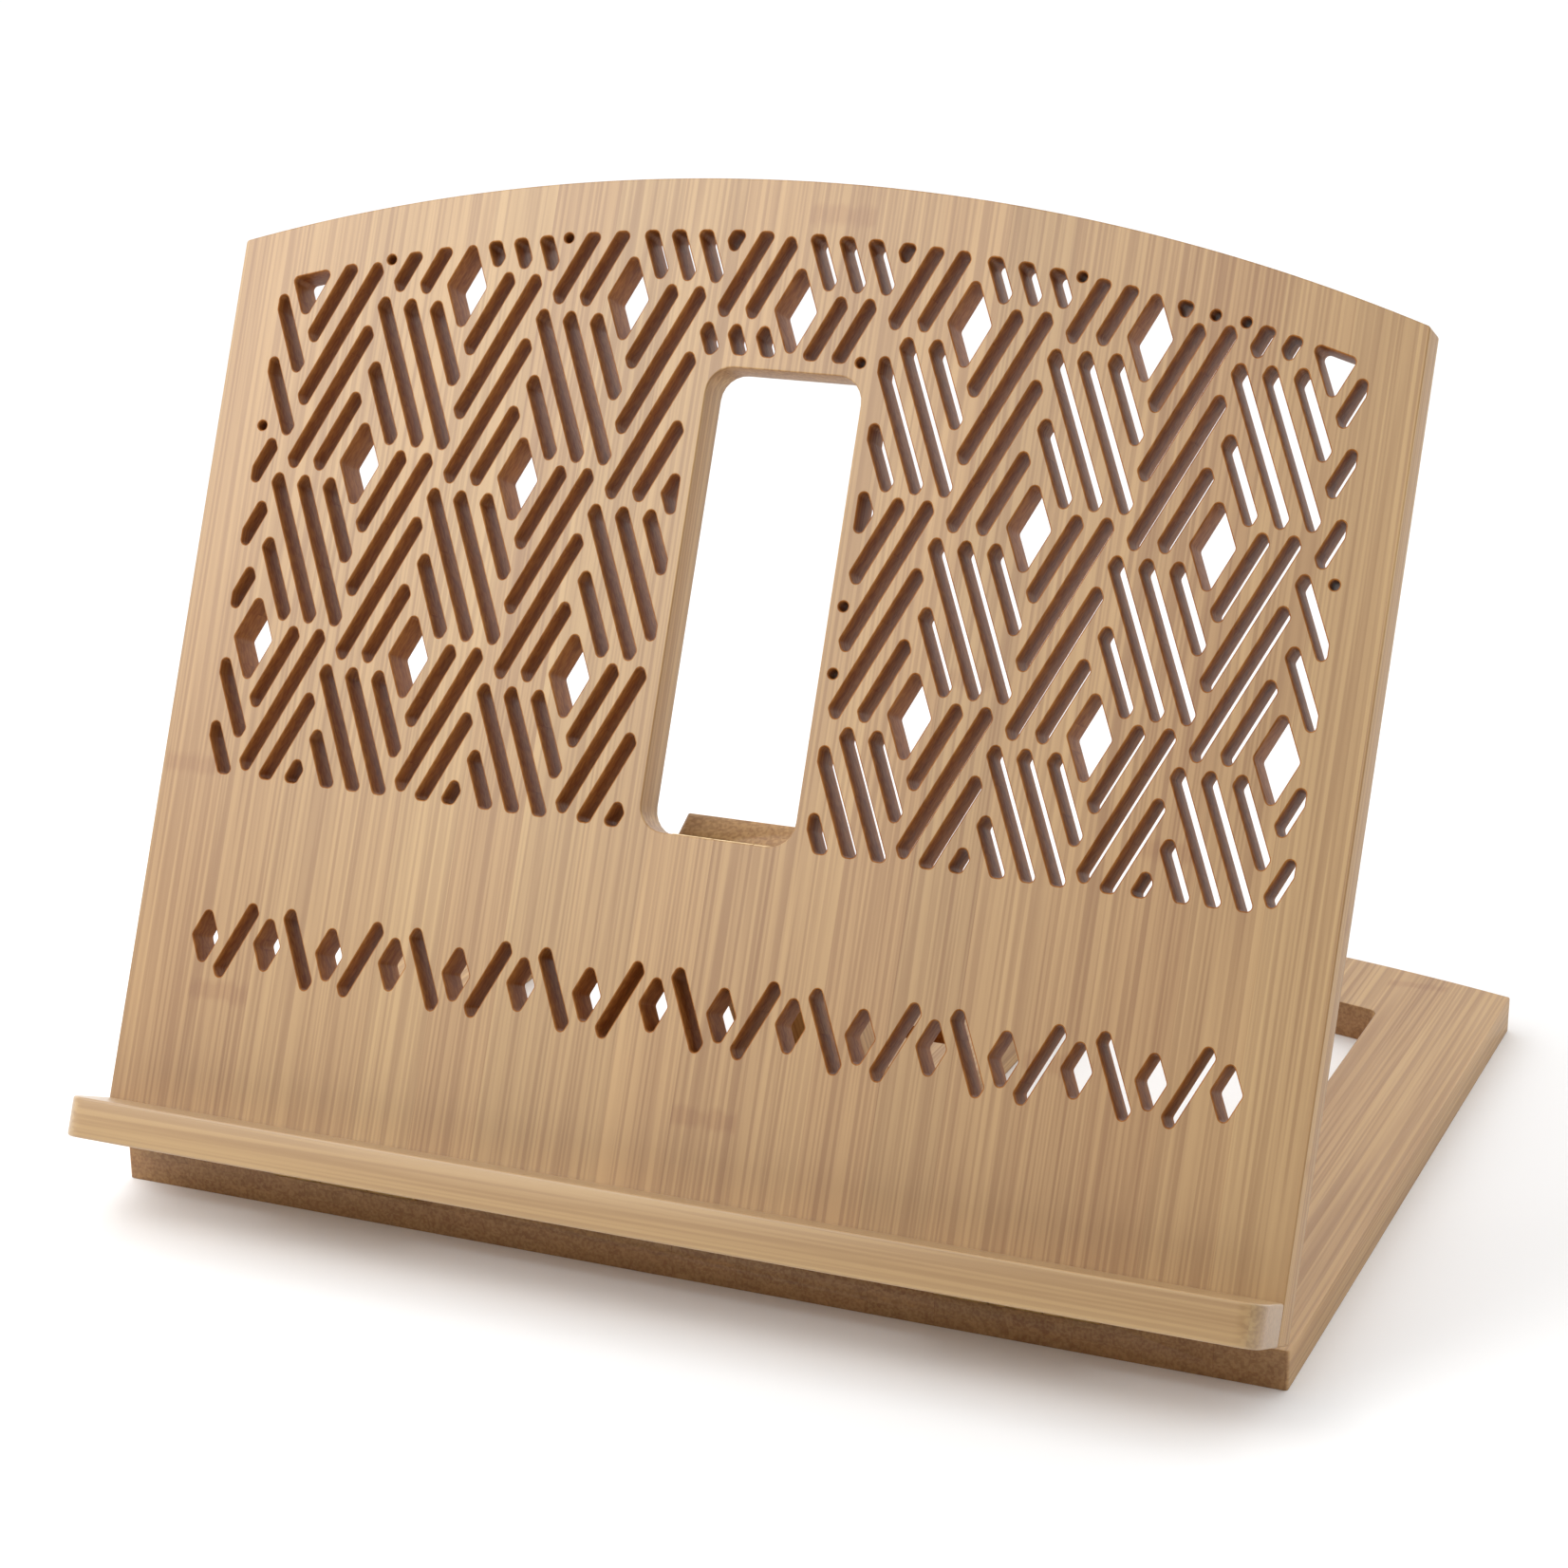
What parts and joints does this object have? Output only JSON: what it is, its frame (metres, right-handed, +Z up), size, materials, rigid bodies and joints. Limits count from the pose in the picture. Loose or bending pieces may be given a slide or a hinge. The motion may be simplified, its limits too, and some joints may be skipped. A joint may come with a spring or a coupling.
{
  "type": "folding book stand",
  "caption": "Folding tabletop book stand of bamboo panel: a pierced lattice back board with a book ledge, hinged to a flat open base frame and held up by a swinging prop leg.",
  "frame": {"origin": "centre of the bounding box at table level, with the stand opened", "axes": "+X to the right across the board, +Y from the ledge to the rear of the base, +Z up"},
  "size_m": [0.38, 0.3516, 0.3084],
  "materials": {
    "bamboo": "satin",
    "brass": "satin"
  },
  "bodies": {
    "base": {"base_frame": "bamboo", "left_hinge_base_leaf": "brass", "left_hinge_base_screw_1": "brass", "left_hinge_base_screw_2": "brass", "left_hinge_pin": "brass", "right_hinge_base_leaf": "brass", "right_hinge_base_screw_1": "brass", "right_hinge_base_screw_2": "brass", "right_hinge_pin": "brass"},
    "board": {"back_board": "bamboo", "ledge": "bamboo", "ledge_screw_1": "brass", "ledge_screw_2": "brass", "ledge_screw_3": "brass", "ledge_screw_4": "brass", "left_hinge_board_leaf": "brass", "left_hinge_board_screw_1": "brass", "left_hinge_board_screw_2": "brass", "leg_hinge_board_leaf": "brass", "leg_hinge_board_screw_1": "brass", "leg_hinge_board_screw_2": "brass", "leg_hinge_pin": "brass", "right_hinge_board_leaf": "brass", "right_hinge_board_screw_1": "brass", "right_hinge_board_screw_2": "brass"},
    "leg": {"leg_hinge_leg_leaf": "brass", "leg_hinge_leg_screw_1": "brass", "leg_hinge_leg_screw_2": "brass", "prop_leg": "bamboo"}
  },
  "joints": [
    {"name": "board_fold", "type": "hinge", "parent": "base", "child": "board", "pos_m": [0, -0.14137, 0.01325], "axis": [-1, 0, 0], "range_deg": [0, 66]},
    {"name": "leg_fold", "type": "hinge", "parent": "board", "child": "leg", "pos_m": [0, -0.09132, 0.12013], "axis": [1, 0, 0], "range_deg": [0, 126.5]}
  ],
  "couplings": [
    {"joint": "leg_fold", "follows": "board_fold", "ratio": 1.9166}
  ]
}
